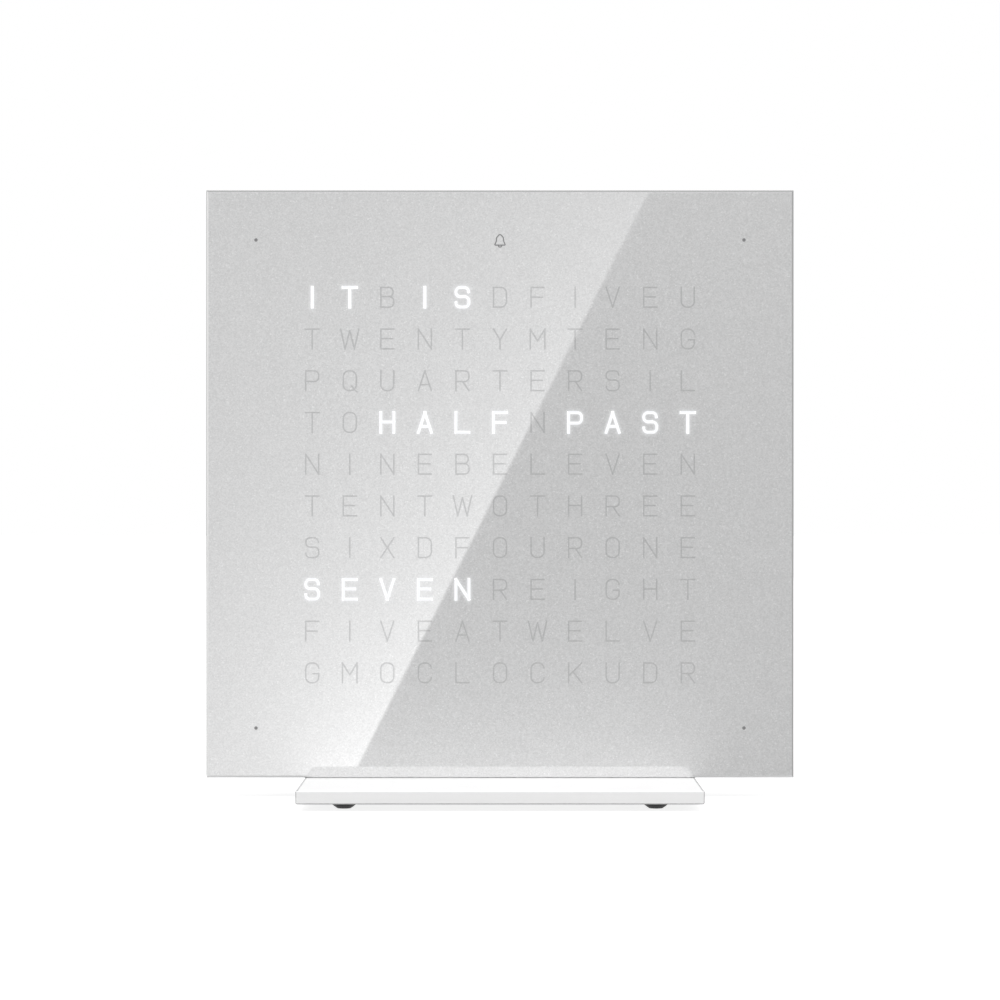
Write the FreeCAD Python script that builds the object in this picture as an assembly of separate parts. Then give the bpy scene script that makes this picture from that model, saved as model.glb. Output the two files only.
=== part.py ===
import FreeCAD, Part
import math
import os

# Word clock: a square body with a glossy lettered front stands upright on a thin square base plate.
# X runs to the right, the front faces -Y and Z runs up. The origin is on the floor under the base's centre.
# All sizes are in millimetres.

# Front cover and face
face_size = 135.0
cover_thickness = 2.0
cover_chamfer = 0.5
film_thickness = 0.15
film_inset = 0.6
reveal = 0.2
cover_gap = 0.1

# Body
body_depth = 18.0
wall = 2.0
front_wall = 1.5
housing_edge = 0.6
corner_block = 5.6
rear_cover_thickness = 2.0
rear_cover_chamfer = 0.3
rear_ledge_width = 14.0
rear_ledge_depth = 1.2

# Letter field
columns = 11
rows = 10
field_side_margin = 20.035
field_end_margin = 19.55
field_drop = 0.24
dot_inset = 11.43

# Light box
diffuser_thickness = 0.5
diffuser_lip = 2.0
shaft_wall = 1.2
duct_wall = 1.0
dot_duct_half = 1.6
bell_duct_half_width = 3.4
bell_duct_half_height = 2.0

# Lift-off cover: magnets, strike discs and locating pins
magnet_radius = 3.5
magnet_thickness = 2.0
magnet_wall_inset = 5.3
magnet_below_dots = 10.0
boss_wall = 1.5
boss_floor = 1.0
strike_thickness = 0.5
pin_radius = 1.2
pin_length = 3.0

# Boards and what they carry
board_thickness = 1.6
rear_space = 6.0
board_post_radius = 2.0
board_post_height = 30.0
led_size = 2.0
led_height = 0.8
electrode_half_width = 9.0
electrode_half_height = 3.0
electrode_thickness = 0.1
contact_radius = 0.6
contact_offset = 7.0
microcontroller_size = (10.0, 10.0, 1.4)
microcontroller_lead_count = 10
driver_size = (8.0, 6.0, 1.2)
driver_lead_count = 10
clock_chip_size = (10.0, 7.5, 2.2)
clock_chip_lead_count = 8
regulator_size = (6.5, 3.5, 1.6)
regulator_lead_count = 3
crystal_half_length = 3.0
crystal_half_width = 1.0
crystal_thickness = 1.2
resistor_half_width = 0.4
resistor_half_height = 0.8
resistor_thickness = 0.45
lead_width = 0.4
lead_reach = 1.0
lead_thickness = 0.25
chip_standoff = 0.1
coin_radius = 10.0
coin_thickness = 3.2
holder_wall = 1.35
holder_floor = 0.5
holder_rim = 3.6
clip_width = 5.0
clip_thickness = 0.3
capacitor_radius = 3.15
capacitor_height = 5.3
capacitor_foot = 0.8
buzzer_radius = 6.5
buzzer_height = 4.5
sound_hole_radius = 1.0
sound_slots = 5
sound_slot_width = 1.2
sound_slot_pitch = 2.6
sound_slot_length = 11.0

# Rear buttons
button_radius = 4.5
button_proud = 0.8
button_edge = 0.4
button_travel = 0.5
button_inset = 19.3
button_pitch = 16.0
button_flange_width = 1.1
button_flange_thickness = 1.0
stem_radius = 1.5
switch_size = 6.0
switch_height = 3.5
plunger_radius = 1.65
plunger_proud = 0.7
plunger_depth = 0.9

# Power socket
socket_half_width = 4.5
socket_half_height = 1.65
socket_wall = 0.3
socket_recess = 0.3
socket_floor = 1.5
tongue_half_width = 3.3
tongue_thickness = 0.7
tongue_setback = 0.8

# Base plate and feet
base_width = 90.0
base_thickness = 3.0
base_chamfer = 0.25
foot_height = 1.65
foot_radius = 3.2
foot_flat_radius = 1.5
foot_bulge = 0.25
foot_inset = 10.3

# Screws
base_screw_radius = 1.5
base_screw_head = 2.9
base_screw_length = 10.0
base_screw_spacing = 40.0
cover_screw_radius = 1.1
cover_screw_head = 2.1
cover_screw_length = 6.0
board_screw_radius = 1.0
board_screw_head = 1.9
board_screw_head_height = 1.2
board_screw_length = 4.5
socket_share = 0.5

# Clearances
loose_fit = 0.15
seat_fit = 0.1
running_fit = 0.05

# Places on the back of the board, right and up from the face's centre
microcontroller_place = (-12.0, 4.0)
driver_places = ((-34.0, 26.0), (-6.0, 30.0), (22.0, 26.0))
clock_chip_place = (14.0, -2.0)
crystal_place = (-24.0, 4.0)
regulator_place = (0.0, -34.0)
capacitor_places = ((-14.0, -42.0), (14.0, -42.0), (14.0, -30.0))
coin_place = (-32.0, -34.0)
buzzer_place = (32.0, -38.0)
socket_place = (0.0, -48.0)
resistor_start = (-26.0, 16.0)
resistor_count = 14
resistor_pitch = 3.6

# Levels and half sizes worked out from the sizes above
base_top = foot_height + base_thickness
face_half = face_size / 2
centre_z = base_top + cover_gap + face_half
housing_half = face_half - reveal
housing_top = base_top + face_size
inner_half = housing_half - wall
inner_bottom = base_top + wall
inner_top = housing_top - wall

front_y = -body_depth / 2
film_y = front_y + cover_thickness
film_back_y = film_y + film_thickness
housing_y = film_back_y + loose_fit
diffuser_back_y = housing_y + diffuser_thickness
wall_back_y = housing_y + front_wall
back_y = body_depth / 2
rear_cover_y = back_y - rear_cover_thickness
board_back_y = rear_cover_y - rear_space
board_y = board_back_y - board_thickness
strike_back_y = film_back_y + strike_thickness
magnet_y = strike_back_y + loose_fit
magnet_boss_y = magnet_y + magnet_thickness + boss_floor
pin_end_y = film_back_y + pin_length

column_pitch = (face_size - 2 * field_side_margin) / columns
row_pitch = (face_size - 2 * field_end_margin) / rows
shaft_half_width = columns * column_pitch / 2 + shaft_wall / 2
shaft_half_height = rows * row_pitch / 2 + shaft_wall / 2
board_half = inner_half - corner_block - loose_fit
dot_offset = face_half - dot_inset
magnet_offset = inner_half - magnet_wall_inset
magnet_height = dot_offset - magnet_below_dots
post_offset = (shaft_half_width + loose_fit + board_half) / 2
cover_screw_offset = inner_half - corner_block / 2
foot_offset = base_width / 2 - foot_inset
button_column = inner_half - button_inset

magnet_places = [(u, w) for u in (-magnet_offset, magnet_offset) for w in (-magnet_height, magnet_height)]
pin_places = [(-magnet_offset, 0), (magnet_offset, 0)]
dot_places = [(u, w) for u in (-dot_offset, dot_offset) for w in (-dot_offset, dot_offset)]
post_places = [(u, w) for u in (-post_offset, post_offset) for w in (-board_post_height, board_post_height)]
corner_sides = (-cover_screw_offset, cover_screw_offset)
corner_places = [(u, w) for u in corner_sides for w in corner_sides]
button_places = {
    "hour": (button_column, button_pitch),
    "minute": (button_column, 0),
    "alarm": (button_column, -button_pitch),
}


# Shapes used by several pieces
def vector(x, y, z):
    """A point or direction."""
    return FreeCAD.Vector(x, y, z)


def block(x0, x1, y0, y1, z0, z1):
    """A block between two opposite corners."""
    return Part.makeBox(x1 - x0, y1 - y0, z1 - z0, vector(x0, y0, z0))


def face_block(place, half_width, half_height, y0, y1):
    """A block centred on a place of the face, from depth y0 to y1."""
    u, w = place
    z = centre_z + w
    return block(u - half_width, u + half_width, y0, y1, z - half_height, z + half_height)


def face_rod(place, radius, y0, y1):
    """A round bar square to the face, from depth y0 to y1."""
    u, w = place
    return Part.makeCylinder(radius, y1 - y0, vector(u, y0, centre_z + w), vector(0, 1, 0))


def face_stadium(place, half_width, half_height, y0, y1):
    """A bar with round ends, square to the face."""
    u, w = place
    reach = half_width - half_height
    ends = [face_rod((u + side * reach, w), half_height, y0, y1) for side in (-1, 1)]
    return face_block(place, reach, half_height, y0, y1).multiFuse(ends).removeSplitter()


def turned(points, place, direction):
    """A solid turned about its own axis from (radius, height) points, then set along a direction."""
    corners = [vector(radius, 0, height) for radius, height in points]
    profile = Part.Face(Part.makePolygon(corners + corners[:1]))
    solid = profile.revolve(vector(0, 0, 0), vector(0, 0, 1), 360)
    solid.Placement = FreeCAD.Placement(place, FreeCAD.Rotation(vector(0, 0, 1), direction))
    return solid


def edges_at_depth(shape, y):
    """The edges that lie wholly at one depth."""
    return [edge for edge in shape.Edges if all(abs(point.Y - y) < 1e-6 for point in edge.Vertexes)]


def edges_along_y(shape):
    """The straight edges that run from front to back."""
    return [edge for edge in shape.Edges if edge.BoundBox.XLength < 1e-6 and edge.BoundBox.ZLength < 1e-6]


def hexagon_socket(radius, depth):
    """The key hole in a screw head, from its face inwards."""
    corners = [
        vector(radius * math.cos(math.radians(60 * turn)), radius * math.sin(math.radians(60 * turn)), 0)
        for turn in range(7)
    ]
    return Part.Face(Part.makePolygon(corners)).extrude(vector(0, 0, depth))


def countersunk_screw(place, direction, radius, head_radius, length):
    """A flat-headed screw: its head's face is at place, and it points along direction."""
    head = Part.makeCone(head_radius, radius, head_radius - radius)
    screw = Part.makeCylinder(radius, length).fuse(head)
    screw = screw.cut(hexagon_socket(head_radius * socket_share, head_radius - radius))
    screw.Placement = FreeCAD.Placement(place, FreeCAD.Rotation(vector(0, 0, 1), direction))
    return screw


def countersunk_hole(place, direction, radius, head_radius, length):
    """The hole for such a screw, with a seat fit all round."""
    head = Part.makeCone(head_radius + seat_fit, radius + seat_fit, head_radius - radius)
    hole = Part.makeCylinder(radius + seat_fit, length + seat_fit).fuse(head)
    hole.Placement = FreeCAD.Placement(place, FreeCAD.Rotation(vector(0, 0, 1), direction))
    return hole


def field_place(column, row):
    """The centre of one letter, counted from the top left."""
    u = (column - (columns - 1) / 2) * column_pitch
    w = ((rows - 1) / 2 - row) * row_pitch - field_drop
    return u, w


def letter_places():
    """The centres of all letters, row by row."""
    return [field_place(column, row) for row in range(rows) for column in range(columns)]


# Base
def make_foot(x, y):
    """A rubber dome with a small flat that meets the floor."""
    middle_radius = (foot_radius + foot_flat_radius) / 2 + foot_bulge
    start = vector(foot_flat_radius, 0, 0)
    end = vector(foot_radius, 0, foot_height)
    side = Part.Arc(start, vector(middle_radius, 0, foot_height / 2), end).toShape()
    rest = Part.makePolygon([end, vector(0, 0, foot_height), vector(0, 0, 0), start])
    foot = Part.Face(Part.Wire([side] + rest.Edges)).revolve(vector(0, 0, 0), vector(0, 0, 1), 360)
    foot.translate(vector(x, y, 0))
    return foot


def make_feet():
    """Four feet near the corners of the base plate."""
    return [make_foot(x, y) for x in (-foot_offset, foot_offset) for y in (-foot_offset, foot_offset)]


def base_screw_places():
    """Where the base screws' head faces lie."""
    return [vector(side * base_screw_spacing / 2, 0, foot_height) for side in (-1, 1)]


def make_base_plate():
    """The square plate, its edges eased, with two countersunk holes."""
    half = base_width / 2
    plate = block(-half, half, -half, half, foot_height, base_top)
    plate = plate.makeChamfer(base_chamfer, plate.Edges)
    for place in base_screw_places():
        hole = countersunk_hole(place, vector(0, 0, 1), base_screw_radius, base_screw_head, base_screw_length)
        plate = plate.cut(hole)
    return plate


def make_base_screws():
    """The two screws that hold the housing on the base plate."""
    return [
        countersunk_screw(place, vector(0, 0, 1), base_screw_radius, base_screw_head, base_screw_length)
        for place in base_screw_places()
    ]


# Front cover
def make_front_cover():
    """The clear front plate, bevelled round its front."""
    cover = face_block((0, 0), face_half, face_half, front_y, film_y)
    return cover.makeChamfer(cover_chamfer, edges_at_depth(cover, front_y))


def make_face_film():
    """The silver film behind the plate."""
    half = face_half - film_inset
    return face_block((0, 0), half, half, film_y, film_back_y)


def make_strike_discs():
    """The steel discs on the cover's back that the magnets pull on."""
    return [face_rod(place, magnet_radius, film_back_y, strike_back_y) for place in magnet_places]


def make_locating_pins():
    """The pins on the cover's back that keep it square."""
    return [face_rod(place, pin_radius, film_back_y, pin_end_y) for place in pin_places]


# Housing
def duct(place, half_width, half_height):
    """A square light duct from the front wall to the board."""
    outside = face_block(place, half_width + duct_wall, half_height + duct_wall, wall_back_y, board_y)
    return outside.cut(face_block(place, half_width, half_height, wall_back_y, board_y))


def make_housing_shell():
    """The tray: four walls and a front frame, open at the back."""
    outside = block(-housing_half, housing_half, housing_y, back_y, base_top, housing_top)
    outside = outside.makeChamfer(housing_edge, edges_along_y(outside) + edges_at_depth(outside, back_y))
    inside = block(-inner_half, inner_half, wall_back_y, back_y, inner_bottom, inner_top)
    return outside.cut(inside)


def housing_additions():
    """What stands up inside the tray: blocks, posts, bosses, ledges and light ducts."""
    additions = []
    half = corner_block / 2
    for u, w in corner_places:
        z = inner_top - half if w > 0 else inner_bottom + half
        additions.append(block(u - half, u + half, wall_back_y, rear_cover_y, z - half, z + half))
    for side in (-1, 1):
        x = side * base_screw_spacing / 2
        block_x = (x - corner_block, x + corner_block)
        top = inner_bottom + corner_block
        additions.append(block(*block_x, wall_back_y, rear_cover_y, inner_bottom, top))
        ledge_x = sorted((side * inner_half, side * (inner_half - rear_ledge_depth)))
        low = centre_z - rear_ledge_width / 2
        additions.append(block(*ledge_x, wall_back_y, rear_cover_y, low, low + rear_ledge_width))
    ledge_half = rear_ledge_width / 2
    top_ledge = inner_top - rear_ledge_depth
    additions.append(block(-ledge_half, ledge_half, wall_back_y, rear_cover_y, top_ledge, inner_top))
    for place in post_places:
        additions.append(face_rod(place, board_post_radius, wall_back_y, board_y))
    for place in magnet_places:
        additions.append(face_rod(place, magnet_radius + boss_wall, wall_back_y, magnet_boss_y))
    for place in pin_places:
        additions.append(face_rod(place, pin_radius + boss_wall, wall_back_y, magnet_boss_y))
    return additions


def housing_cuts():
    """The windows, recesses and holes in the housing."""
    field = (0, -field_drop)
    window_width = shaft_half_width + loose_fit
    window_height = shaft_half_height + loose_fit
    cuts = [face_block(field, window_width, window_height, housing_y, wall_back_y)]
    rebate_width = window_width + diffuser_lip
    rebate_height = window_height + diffuser_lip
    cuts.append(face_block(field, rebate_width, rebate_height, housing_y, diffuser_back_y))
    bell = (0, dot_offset)
    cuts.append(face_block(bell, bell_duct_half_width, bell_duct_half_height, housing_y, wall_back_y))
    electrode_back_y = housing_y + electrode_thickness
    cuts.append(face_block(bell, electrode_half_width, electrode_half_height, housing_y, electrode_back_y))
    cuts.append(face_rod((contact_offset, dot_offset), contact_radius + seat_fit, housing_y, wall_back_y))
    for place in dot_places:
        cuts.append(face_block(place, dot_duct_half, dot_duct_half, housing_y, wall_back_y))
    for place in magnet_places:
        cuts.append(face_rod(place, magnet_radius + loose_fit, housing_y, magnet_y))
        cuts.append(face_rod(place, magnet_radius + running_fit, magnet_y, magnet_y + magnet_thickness))
    for place in pin_places:
        cuts.append(face_rod(place, pin_radius + running_fit, housing_y, magnet_boss_y))
    for place in post_places:
        hole_start = board_back_y - board_screw_length - seat_fit
        cuts.append(face_rod(place, board_screw_radius + seat_fit, hole_start, board_y))
    return cuts


def cover_screw_hole(place):
    """A countersunk hole for a rear cover screw."""
    return countersunk_hole(
        place, vector(0, -1, 0), cover_screw_radius, cover_screw_head, cover_screw_length
    )


def screw_cuts():
    """The screw holes in the housing's blocks."""
    cuts = []
    for place in corner_screw_places():
        cuts.append(cover_screw_hole(place))
    for place in base_screw_places():
        cuts.append(
            countersunk_hole(place, vector(0, 0, 1), base_screw_radius, base_screw_head, base_screw_length)
        )
    return cuts


def corner_screw_places():
    """Where the rear cover screws' head faces lie."""
    half = corner_block / 2
    return [
        vector(side * cover_screw_offset, back_y, z)
        for side in (-1, 1)
        for z in (inner_bottom + half, inner_top - half)
    ]


def make_housing():
    """The tray with its blocks, posts, bosses, ducts, windows and holes."""
    housing = make_housing_shell().multiFuse(housing_additions())
    housing = housing.cut(Part.makeCompound(screw_cuts()))
    for cut in housing_cuts():
        housing = housing.cut(cut)
    ducts = [duct(place, dot_duct_half, dot_duct_half) for place in dot_places]
    ducts.append(duct((0, dot_offset), bell_duct_half_width, bell_duct_half_height))
    return housing.multiFuse(ducts).removeSplitter()


def make_housing_magnets():
    """The disc magnets in the housing's front frame."""
    return [face_rod(place, magnet_radius, magnet_y, magnet_y + magnet_thickness) for place in magnet_places]


# Rear cover
def make_rear_cover():
    """The plate that closes the housing's back, with holes for buttons, socket, sound and screws."""
    half = inner_half - loose_fit
    low = inner_bottom + loose_fit
    high = inner_top - loose_fit
    cover = block(-half, half, rear_cover_y, back_y, low, high)
    cover = cover.makeChamfer(rear_cover_chamfer, edges_at_depth(cover, back_y))
    for place in button_places.values():
        cover = cover.cut(face_rod(place, button_radius + loose_fit, rear_cover_y, back_y))
    opening_width = socket_half_width + loose_fit
    opening_height = socket_half_height + loose_fit
    cover = cover.cut(face_stadium(socket_place, opening_width, opening_height, rear_cover_y, back_y))
    for slot in range(sound_slots):
        u = buzzer_place[0] + (slot - (sound_slots - 1) / 2) * sound_slot_pitch
        place = (u, buzzer_place[1])
        cover = cover.cut(
            face_block(place, sound_slot_width / 2, sound_slot_length / 2, rear_cover_y, back_y)
        )
    for place in corner_screw_places():
        cover = cover.cut(cover_screw_hole(place))
    return cover


def make_rear_cover_screws():
    """The four screws in the rear cover's corners."""
    return [
        countersunk_screw(place, vector(0, -1, 0), cover_screw_radius, cover_screw_head, cover_screw_length)
        for place in corner_screw_places()
    ]


# Light box
def make_diffuser_sheet():
    """The opal sheet between the light shafts and the face film."""
    half_width = shaft_half_width + loose_fit + diffuser_lip - seat_fit
    half_height = shaft_half_height + loose_fit + diffuser_lip - seat_fit
    return face_block((0, -field_drop), half_width, half_height, housing_y, diffuser_back_y)


def make_light_shaft_grid():
    """The grid that keeps each letter's light to itself."""
    grid = face_block((0, -field_drop), shaft_half_width, shaft_half_height, diffuser_back_y, board_y)
    half_width = (column_pitch - shaft_wall) / 2
    half_height = (row_pitch - shaft_wall) / 2
    cells = [
        face_block(place, half_width, half_height, diffuser_back_y, board_y)
        for place in letter_places()
    ]
    return grid.cut(Part.makeCompound(cells))


def make_led_board():
    """The circuit board behind the light shafts."""
    board = face_block((0, 0), board_half, board_half, board_y, board_back_y)
    for place in post_places:
        board = board.cut(face_rod(place, board_screw_radius + seat_fit, board_y, board_back_y))
    return board


def led(place):
    """One square light on the front of the board."""
    return face_block(place, led_size / 2, led_size / 2, board_y - led_height, board_y)


def make_board_screws():
    """Cap-headed screws that hold the board on its posts."""
    screws = []
    for u, w in post_places:
        tip = board_back_y - board_screw_length
        screw = face_rod((u, w), board_screw_radius, tip, board_back_y)
        head = face_rod((u, w), board_screw_head, board_back_y, board_back_y + board_screw_head_height)
        key = hexagon_socket(board_screw_head * socket_share, board_screw_head_height / 2)
        turn = FreeCAD.Rotation(vector(0, 0, 1), vector(0, -1, 0))
        key.Placement = FreeCAD.Placement(
            vector(u, board_back_y + board_screw_head_height, centre_z + w), turn
        )
        screws.append(screw.fuse(head).cut(key))
    return screws


def make_touch_electrode():
    """A thin copper frame round the bell symbol, on the housing's front."""
    bell = (0, dot_offset)
    foil = face_block(
        bell, electrode_half_width, electrode_half_height, housing_y, housing_y + electrode_thickness
    )
    window = face_block(
        bell, bell_duct_half_width, bell_duct_half_height, housing_y, housing_y + electrode_thickness
    )
    return foil.cut(window)


def make_touch_contact():
    """The pin that joins the electrode to the board."""
    return face_rod((contact_offset, dot_offset), contact_radius, housing_y + electrode_thickness, board_y)


# Parts on the back of the board
def chip(place, size, leads, sides):
    """A flat chip with bent leads on its upper and lower sides, or on all four."""
    u, w = place
    width, height, thickness = size
    body_y = board_back_y + chip_standoff
    body = face_block(place, width / 2, height / 2, body_y, body_y + thickness)
    legs = []
    for sideways, side in ((False, 1), (False, -1), (True, 1), (True, -1))[:sides]:
        along, across = (height, width) if sideways else (width, height)
        for index in range(leads):
            offset = (index - (leads - 1) / 2) * along / (leads + 1)
            legs.append(lead(offset, across / 2, side, sideways, body_y + thickness / 2))
    for leg in legs:
        leg.translate(vector(u, 0, centre_z + w))
    return body.multiFuse(legs)


def lead(offset, edge, side, sideways, top_y):
    """One lead: out from the chip's edge, then down to the board."""
    arm = (edge - lead_reach / 2, edge + lead_reach)
    foot = (edge + lead_reach - lead_thickness, edge + lead_reach)
    pieces = []
    for (near, far), low_y in ((arm, top_y - lead_thickness), (foot, board_back_y)):
        low, high = sorted((side * near, side * far))
        sides = (offset - lead_width / 2, offset + lead_width / 2)
        if sideways:
            pieces.append(block(low, high, low_y, top_y, *sides))
        else:
            pieces.append(block(*sides, low_y, top_y, low, high))
    return pieces[0].fuse(pieces[1])


def make_crystal():
    """The clock's crystal in its flat can."""
    top_y = board_back_y + crystal_thickness
    return face_stadium(crystal_place, crystal_half_length, crystal_half_width, board_back_y, top_y)


def make_capacitor(place):
    """A round can on a square foot."""
    foot = face_block(place, capacitor_radius, capacitor_radius, board_back_y, board_back_y + capacitor_foot)
    can = face_rod(place, capacitor_radius, board_back_y, board_back_y + capacitor_height)
    return foot.fuse(can)


def make_coin_cell_holder():
    """A round tray for the coin cell."""
    cup = face_rod(coin_place, coin_radius + loose_fit + holder_wall, board_back_y, board_back_y + holder_rim)
    floor_y = board_back_y + holder_floor
    return cup.cut(face_rod(coin_place, coin_radius + loose_fit, floor_y, board_back_y + holder_rim))


def make_coin_cell():
    """The cell that keeps the time when the power is off."""
    floor_y = board_back_y + holder_floor
    return face_rod(coin_place, coin_radius, floor_y, floor_y + coin_thickness)


def make_coin_cell_clip():
    """A sprung strap over the coin cell, down to the board on both sides."""
    u, w = coin_place
    reach = coin_radius + loose_fit + holder_wall + seat_fit
    strap_y = board_back_y + holder_floor + coin_thickness + seat_fit
    half = reach + clip_thickness
    strap = face_block(coin_place, clip_width / 2, half, strap_y, strap_y + clip_thickness)
    legs = []
    for side in (-1, 1):
        place = (u, w + side * (reach + clip_thickness / 2))
        leg = face_block(place, clip_width / 2, clip_thickness / 2, board_back_y, strap_y + clip_thickness)
        legs.append(leg)
    return strap.multiFuse(legs).removeSplitter()


def make_buzzer():
    """A round sounder with a sound hole that faces the rear cover's slots."""
    top_y = board_back_y + buzzer_height
    body = face_rod(buzzer_place, buzzer_radius, board_back_y, top_y)
    return body.cut(face_rod(buzzer_place, sound_hole_radius, top_y - buzzer_height / 2, top_y))


def resistor(index):
    """One small resistor in a row across the board."""
    place = (resistor_start[0] + index * resistor_pitch, resistor_start[1])
    top_y = board_back_y + resistor_thickness
    return face_block(place, resistor_half_width, resistor_half_height, board_back_y, top_y)


# Buttons and switches
def switch_top_y():
    """The top of the switch bodies."""
    return board_back_y + switch_height


def make_tact_switch(place):
    """A square switch body with a bore for its plunger."""
    top_y = switch_top_y()
    body = face_block(place, switch_size / 2, switch_size / 2, board_back_y, top_y)
    bore_depth = plunger_depth + button_travel + seat_fit
    return body.cut(face_rod(place, plunger_radius + running_fit, top_y - bore_depth, top_y))


def make_plunger(place):
    """The plunger that a button presses into its switch."""
    top_y = switch_top_y()
    return face_rod(place, plunger_radius, top_y - plunger_depth, top_y + plunger_proud)


def make_button(place):
    """A round cap with a flange inside the rear cover and a stem on the plunger."""
    u, w = place
    bottom = switch_top_y() + plunger_proud
    flange_top = rear_cover_y - running_fit - bottom
    flange_bottom = flange_top - button_flange_thickness
    top = back_y + button_proud - bottom
    flange_radius = button_radius + button_flange_width
    points = [
        (0, 0),
        (stem_radius, 0),
        (stem_radius, flange_bottom),
        (flange_radius, flange_bottom),
        (flange_radius, flange_top),
        (button_radius, flange_top),
        (button_radius, top - button_edge),
        (button_radius - button_edge, top),
        (0, top),
    ]
    return turned(points, vector(u, bottom, centre_z + w), vector(0, 1, 0))


# Power socket
def make_power_socket():
    """The socket's metal shell, which reaches through the rear cover."""
    end_y = back_y - socket_recess
    outside = face_stadium(socket_place, socket_half_width, socket_half_height, board_back_y, end_y)
    inner_width = socket_half_width - socket_wall
    inner_height = socket_half_height - socket_wall
    return outside.cut(face_stadium(socket_place, inner_width, inner_height, board_back_y, end_y))


def make_socket_tongue():
    """The socket's insulating floor and contact tongue."""
    inner_width = socket_half_width - socket_wall
    inner_height = socket_half_height - socket_wall
    floor_y = board_back_y + socket_floor
    floor = face_stadium(socket_place, inner_width, inner_height, board_back_y, floor_y)
    end_y = back_y - socket_recess - tongue_setback
    tongue = face_block(socket_place, tongue_half_width, tongue_thickness / 2, board_back_y, end_y)
    return floor.fuse(tongue).removeSplitter()


# Files
def save(name, solids):
    """Write one piece, or a set of like pieces, under its own name."""
    shape = solids[0] if len(solids) == 1 else Part.makeCompound(solids)
    shape.exportStep(f"parts/{name}.step")
    print(name, len(shape.Solids), "solids", round(shape.Volume, 2), "mm3", shape.isValid())


def save_clock():
    """Make and write every piece."""
    os.makedirs("parts", exist_ok=True)
    save("base_plate", [make_base_plate()])
    save("rubber_feet", make_feet())
    save("base_screws", make_base_screws())
    save("front_cover", [make_front_cover()])
    save("face_film", [make_face_film()])
    save("strike_discs", make_strike_discs())
    save("locating_pins", make_locating_pins())
    save("housing", [make_housing()])
    save("housing_magnets", make_housing_magnets())
    save("rear_cover", [make_rear_cover()])
    save("rear_cover_screws", make_rear_cover_screws())
    save("diffuser_sheet", [make_diffuser_sheet()])
    save("light_shaft_grid", [make_light_shaft_grid()])
    save("led_board", [make_led_board()])
    save("board_screws", make_board_screws())
    save("letter_leds", [led(place) for place in letter_places()])
    save("minute_leds", [led(place) for place in dot_places])
    save("alarm_led", [led((-led_size, dot_offset))])
    save("light_sensor", [led((led_size, dot_offset))])
    save("touch_electrode", [make_touch_electrode()])
    save("touch_contact", [make_touch_contact()])
    save("microcontroller", [chip(microcontroller_place, microcontroller_size, microcontroller_lead_count, 4)])
    save("led_drivers", [chip(place, driver_size, driver_lead_count, 2) for place in driver_places])
    save("clock_chip", [chip(clock_chip_place, clock_chip_size, clock_chip_lead_count, 2)])
    save("crystal", [make_crystal()])
    save("voltage_regulator", [chip(regulator_place, regulator_size, regulator_lead_count, 2)])
    save("capacitors", [make_capacitor(place) for place in capacitor_places])
    save("small_resistors", [resistor(index) for index in range(resistor_count)])
    save("coin_cell_holder", [make_coin_cell_holder()])
    save("coin_cell", [make_coin_cell()])
    save("coin_cell_clip", [make_coin_cell_clip()])
    save("buzzer", [make_buzzer()])
    save("tact_switches", [make_tact_switch(place) for place in button_places.values()])
    for name, place in button_places.items():
        save(f"{name}_button", [make_button(place)])
        save(f"{name}_plunger", [make_plunger(place)])
    save("power_socket", [make_power_socket()])
    save("socket_tongue", [make_socket_tongue()])


save_clock()
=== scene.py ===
"""Looks of a square desk word clock: its lettered silver face, white base plate, body, inner parts and studio."""

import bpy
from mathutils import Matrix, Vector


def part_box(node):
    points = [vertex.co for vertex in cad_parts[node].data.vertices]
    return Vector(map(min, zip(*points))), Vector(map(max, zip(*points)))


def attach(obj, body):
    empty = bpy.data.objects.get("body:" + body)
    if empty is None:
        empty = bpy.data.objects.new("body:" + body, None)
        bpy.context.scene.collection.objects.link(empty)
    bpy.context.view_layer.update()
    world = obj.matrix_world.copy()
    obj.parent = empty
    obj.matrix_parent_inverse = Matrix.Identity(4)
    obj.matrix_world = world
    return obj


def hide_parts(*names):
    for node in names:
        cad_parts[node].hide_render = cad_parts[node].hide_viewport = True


bl_info = {
    "name": "Word clock",
    "version": (1, 0, 0),
    "blender": (4, 5, 0),
    "location": "3D View > Sidebar > Word clock",
    "description": "Dresses the packed word clock with its letters, lights, finishes and a studio",
    "category": "Object",
}

import math

import bmesh
import bpy
from mathutils import Matrix, Vector

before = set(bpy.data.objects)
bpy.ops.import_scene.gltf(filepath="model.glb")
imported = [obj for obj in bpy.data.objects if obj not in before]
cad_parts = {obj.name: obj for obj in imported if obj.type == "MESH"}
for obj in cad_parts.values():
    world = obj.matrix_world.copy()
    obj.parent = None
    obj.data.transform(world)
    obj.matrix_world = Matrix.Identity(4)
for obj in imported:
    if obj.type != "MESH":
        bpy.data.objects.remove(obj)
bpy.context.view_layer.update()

MM = 0.001
COVER_LOW, COVER_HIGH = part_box("front_cover")
FILM_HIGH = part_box("face_film")[1]
DIFFUSER_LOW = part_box("diffuser_sheet")[0]
FEET_LOW, FEET_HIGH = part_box("rubber_feet")
BASE_LOW, BASE_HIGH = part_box("base_plate")
LEDS_LOW, LEDS_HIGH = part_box("letter_leds")
LED_LOW, LED_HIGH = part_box("alarm_led")
DOTS_LOW, DOTS_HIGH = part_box("minute_leds")

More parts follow.
